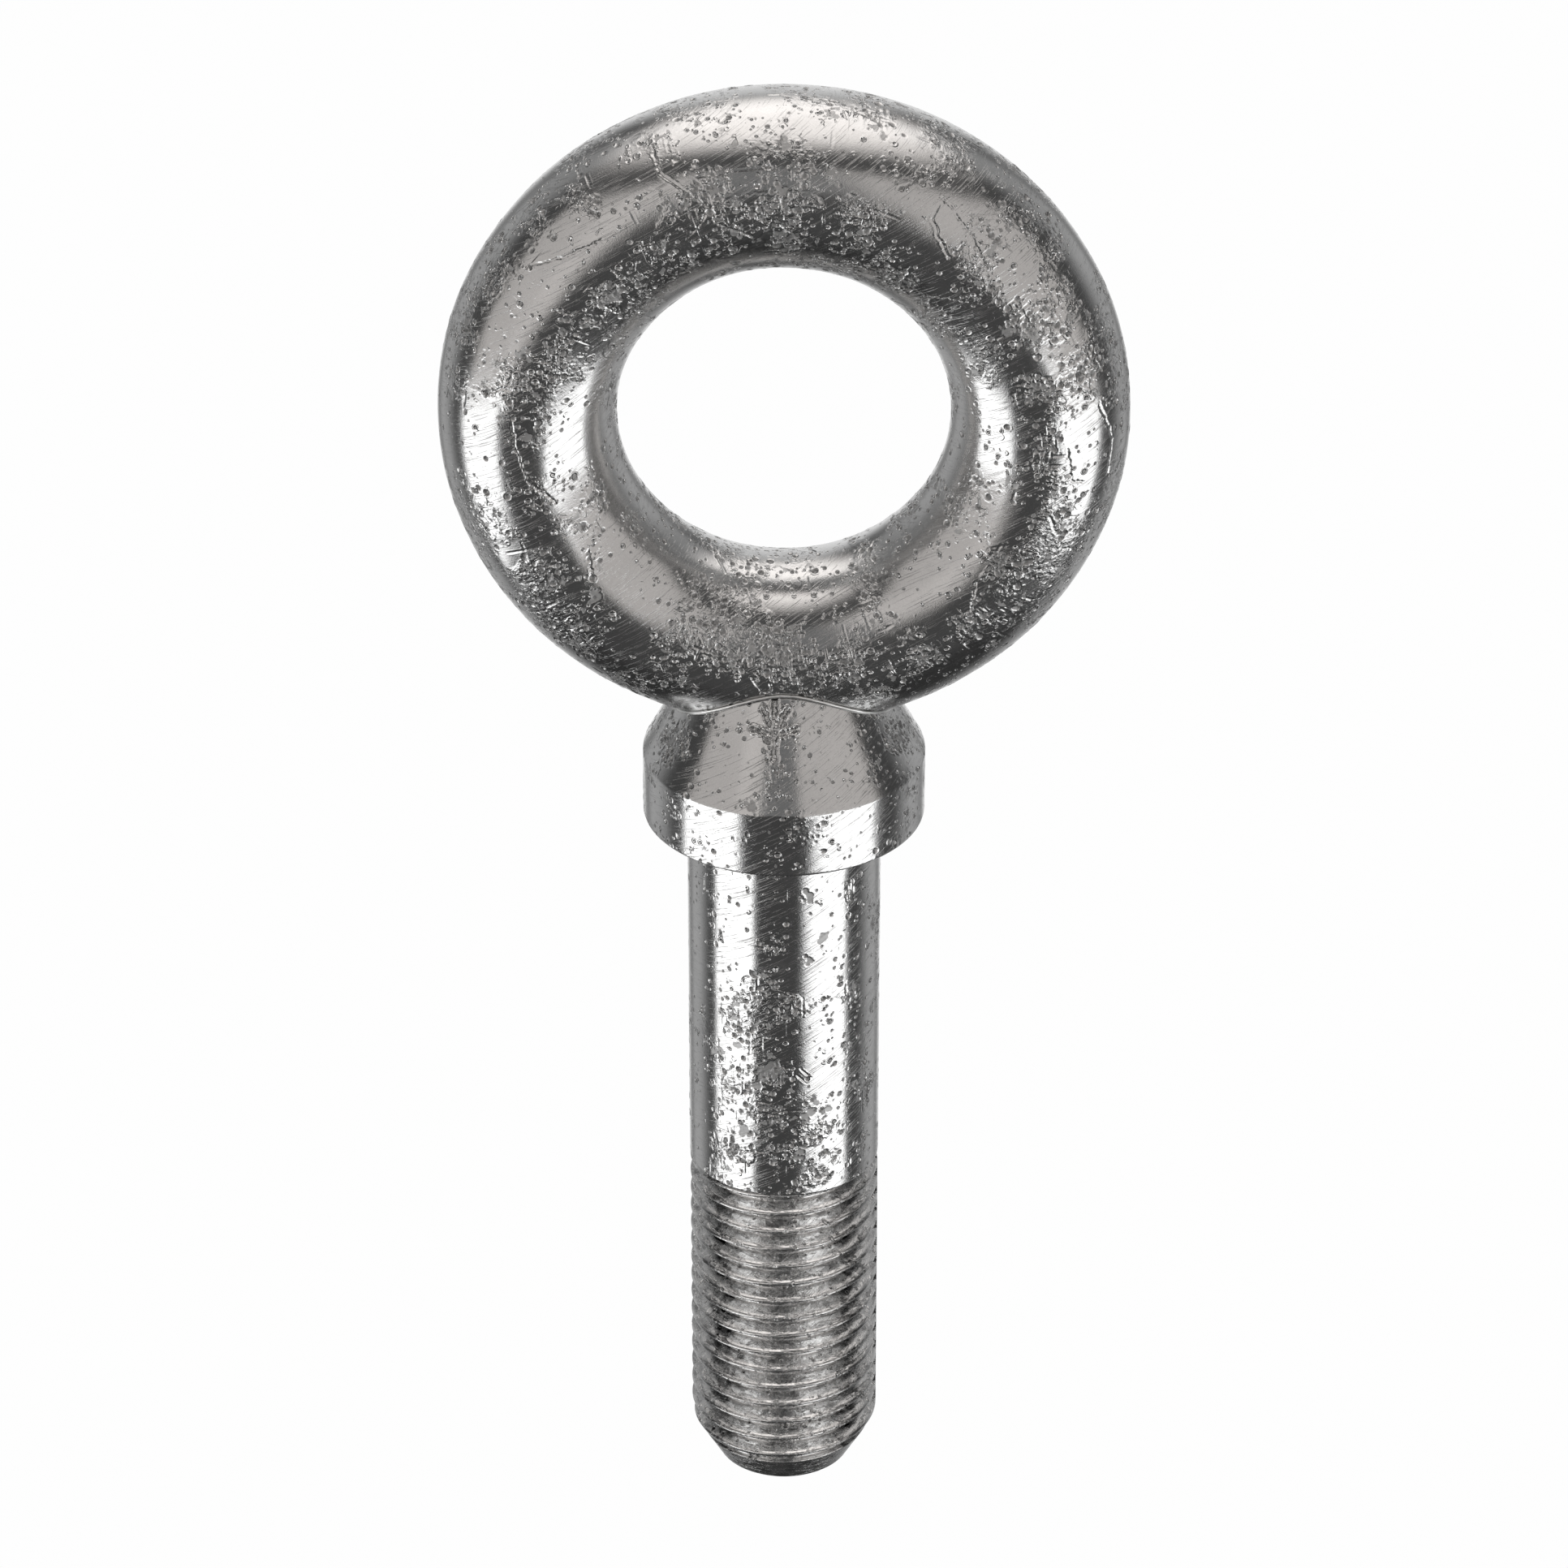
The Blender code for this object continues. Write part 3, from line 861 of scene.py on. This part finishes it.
def studio_floor():
    """A white floor under the point, lit evenly so that it carries no shadow."""
    material = bpy.data.materials.new("floor_white")
    material.use_nodes = True
    tree = material.node_tree
    tree.nodes.clear()
    glow = tree.nodes.new("ShaderNodeEmission")
    glow.inputs["Color"].default_value = (0.99, 0.99, 0.99, 1)
    output = tree.nodes.new("ShaderNodeOutputMaterial")
    tree.links.new(glow.outputs[0], output.inputs[0])
    bpy.ops.mesh.primitive_plane_add(size=6.0, location=(0, 0, POINT_HEIGHT - 0.5 * MM))
    floor = bpy.context.object
    floor.name = "floor"
    floor.data.materials.append(material)
    floor.visible_glossy = False
    floor.visible_diffuse = False
    floor.visible_shadow = False


def degrees_of(nodes, operation, *values):
    """The angle that an inverse trigonometric operation gives, in degrees."""
    return nodes.product(nodes.math(operation, *values), 180 / math.pi)


def studio_light():
    """White and warm panels all round, and a plain white room for the camera to see behind the object.

    Directions are in degrees: azimuth from the front, right positive, and elevation. aside is the azimuth
    to either side. The number after each panel is its brightness.
    """
    world = bpy.data.worlds.new("studio")
    bpy.context.scene.world = world
    world.use_nodes = True
    world.node_tree.nodes.clear()
    nodes = Nodes(world.node_tree)
    x, y, z = nodes.axes(nodes.add("ShaderNodeTexCoord").outputs["Generated"])
    azimuth = degrees_of(nodes, "ARCTAN2", x, nodes.product(y, -1.0))
    elevation = degrees_of(nodes, "ARCSINE", z)
    aside = nodes.math("ABSOLUTE", azimuth)

    def panel(direction, wide, tall, soft):
        return nodes.product(nodes.band(direction, *wide, soft), nodes.band(elevation, *tall, soft))

    behind = nodes.ramp(aside, 98, 126)
    lamp_foot = nodes.plus(elevation, (aside, 0.33))
    lamp_tall = nodes.product(nodes.ramp(elevation, -13, -22), nodes.ramp(lamp_foot, -27, -19))
    lamp_left = nodes.product(nodes.band(azimuth, -89, -37, 2.5), lamp_tall)
    lamp_right = nodes.product(nodes.band(azimuth, 22, 79, 2.5), lamp_tall)
    neutral = nodes.plus(
        0.042,
        (nodes.product(behind, nodes.band(elevation, -55, 75, 12)), 0.27),
        (nodes.product(behind, nodes.band(elevation, -55, 15, 15)), 0.16),
        (panel(aside, (143, 156), (-38, 45), 4), -0.24),
        (panel(aside, (163, 190), (-40, 30), 6), 0.45),
        (panel(azimuth, (-18, 12), (5, 36), 5), 0.15),
        (nodes.ramp(elevation, -66, -52), 0.035),
        (lamp_left, 2.3),
        (lamp_right, 2.3),
    )

    lean = math.radians(12)
    overhead = nodes.plus(nodes.product(z, math.cos(lean)), (y, math.sin(lean)))
    ceiling = nodes.ramp(overhead, math.cos(math.radians(50)), math.cos(math.radians(16)))
    warm = nodes.plus(
        0.0,
        (ceiling, 1.5),
        (panel(azimuth, (-80, -18), (-16, 36), 3.5), 0.61),
        (panel(azimuth, (-40, -18), (-16, 36), 3.5), 0.12),
        (panel(azimuth, (12, 78), (-16, 36), 3.5), 0.62),
    )

    def glow(colour, strength):
        node = nodes.add("ShaderNodeBackground")
        node.inputs["Color"].default_value = (*colour, 1)
        nodes.link(strength, node.inputs["Strength"])
        return node.outputs[0]

    room = nodes.add("ShaderNodeAddShader")
    nodes.link(glow((1.0, 1.0, 1.0), neutral), room.inputs[0])
    nodes.link(glow((1.0, 0.95, 0.915), warm), room.inputs[1])
    mix = nodes.add("ShaderNodeMixShader")
    nodes.link(nodes.add("ShaderNodeLightPath").outputs["Is Camera Ray"], mix.inputs[0])
    nodes.link(room.outputs[0], mix.inputs[1])
    nodes.link(glow((0.99, 0.99, 0.99), 1.0), mix.inputs[2])
    nodes.link(mix.outputs[0], nodes.add("ShaderNodeOutputWorld").inputs[0])


def studio_camera():
    data = bpy.data.cameras.new("camera")
    data.lens = LENS_MM
    data.sensor_width = 36.0
    data.clip_end = 20.0
    camera = bpy.data.objects.new("camera", data)
    bpy.context.scene.collection.objects.link(camera)
    aim = Vector((0, 0, EYE_HEIGHT - AIM_BELOW_EYE))
    offset = Vector((0, -math.cos(CAMERA_ELEVATION), math.sin(CAMERA_ELEVATION))) * CAMERA_DISTANCE
    camera.location = aim + offset
    camera.rotation_euler = (-offset).to_track_quat("-Z", "Y").to_euler()
    bpy.context.scene.camera = camera


# ---------------------------------------------------------------- the bolt in the studio


def dress(obj, node, material):
    obj.data.materials.append(material)
    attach(obj, "root")
    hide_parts(node)


studio_floor()
studio_light()
studio_camera()
bpy.context.scene.view_settings.view_transform = "Standard"

ring = ring_mesh()
stud = stud_mesh()
weld = weld_mesh()
for piece in (ring, stud, weld):
    tidy_mesh(piece)
mark_ring(ring)
mark_stud(stud)

dress(ring, "eye_ring", steel("ring_steel", STEEL_TINT, gloss=0.17, spotting=0.45))
dress(
    stud,
    "shoulder_stud",
    steel("stud_steel", STEEL_TINT, gloss=0.13, spotting=0.35, thread_top=THREAD_TOP),
)
# The weld's light tint is a painted highlight along the crease.
dress(weld, "saddle_weld", steel("weld_metal", WELD_TINT_AND_HIGHLIGHT, gloss=0.3, spotting=0.0))
